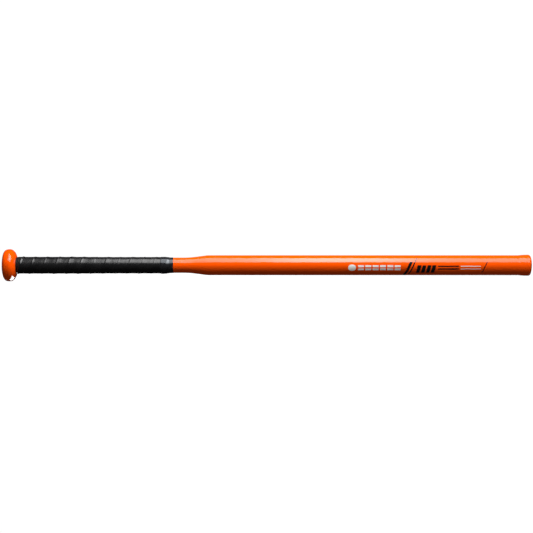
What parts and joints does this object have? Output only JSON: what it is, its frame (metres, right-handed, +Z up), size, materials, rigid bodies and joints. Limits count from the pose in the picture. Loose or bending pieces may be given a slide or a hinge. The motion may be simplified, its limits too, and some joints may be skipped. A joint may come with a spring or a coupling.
{
  "type": "contact trainer bat",
  "caption": "Slim-barrel practice bat: painted one-piece alloy tube, welded round knob, taped handle grip and closed flared barrel end.",
  "frame": {"origin": "centre of the flat face on the end of the knob", "axes": "+X along the bat's axis from the knob to the barrel end, +Z up with the bat level, -Y the side with the printed marks"},
  "size_m": [0.838, 0.051, 0.051],
  "materials": {
    "orange_paint": "gloss",
    "weld_metal": "satin",
    "cured_urethane": "satin",
    "underlay_adhesive": "matte",
    "grip_polyurethane": "satin",
    "vinyl_tape": "gloss"
  },
  "bodies": {
    "root": {"bat_tube": "orange_paint", "knob": "orange_paint", "knob_weld_bead": "weld_metal", "end_cap": "orange_paint", "end_cap_bond": "cured_urethane", "grip_underlay": "underlay_adhesive", "grip_wrap": "grip_polyurethane", "finish_tape": "vinyl_tape"}
  },
  "joints": []
}
